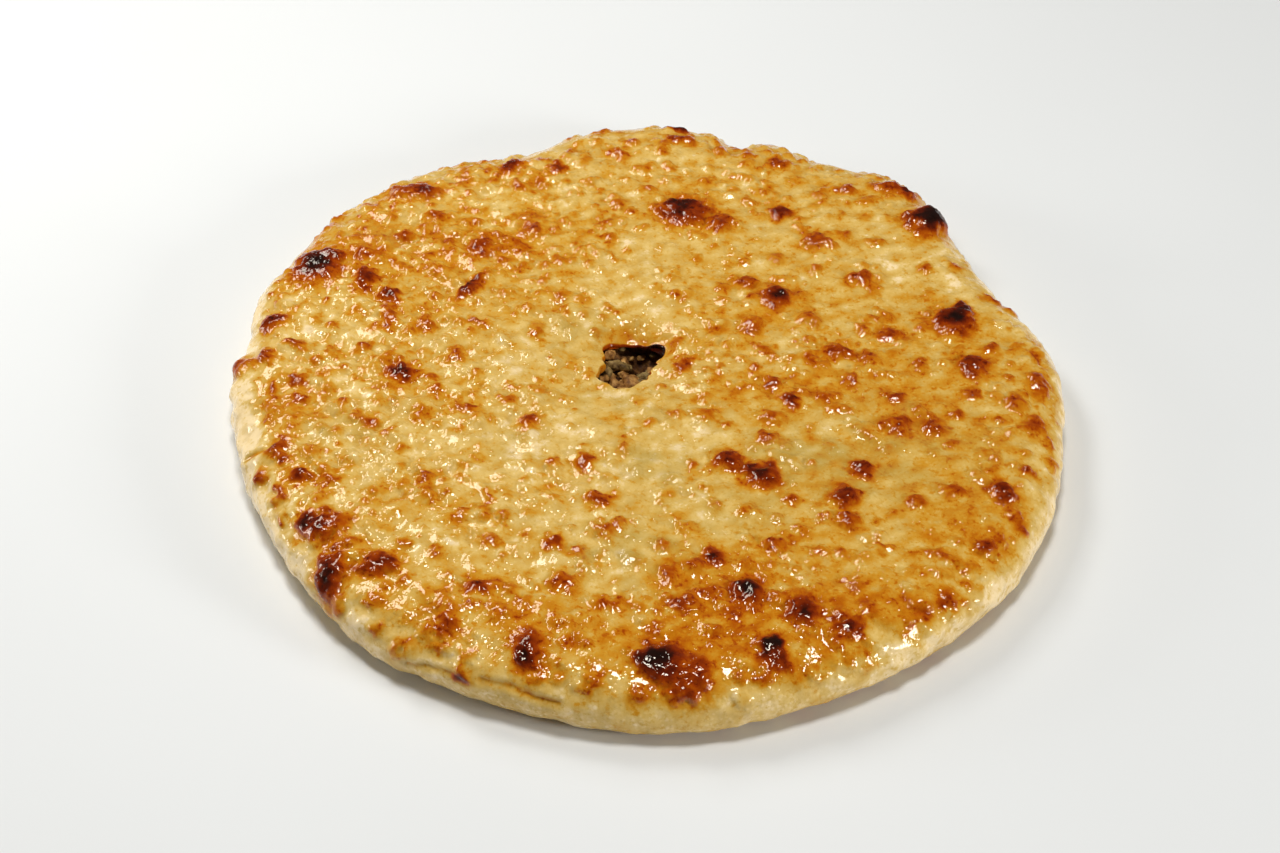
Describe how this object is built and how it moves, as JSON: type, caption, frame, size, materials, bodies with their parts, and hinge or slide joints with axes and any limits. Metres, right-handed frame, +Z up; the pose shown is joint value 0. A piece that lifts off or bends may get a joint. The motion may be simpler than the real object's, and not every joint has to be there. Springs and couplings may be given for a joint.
{
  "type": "salmon pie",
  "caption": "Whole round flat pie with a blistered, browned bread crust and a small torn vent hole on top that shows its salmon and greens filling",
  "frame": {"origin": "on the surface the pie stands on, under the middle of its bounding box", "axes": "+Z is up, out of the browned top. +X and +Y lie along the table, and the pie is seen in the picture from the -Y side."},
  "size_m": [0.3251, 0.3428, 0.0274],
  "materials": {
    "crust": "glossy baked dough, brushed with butter",
    "filling": "moist flaked fish with chopped greens"
  },
  "bodies": {
    "root": {"crust": "crust", "filling": "filling"}
  },
  "joints": []
}
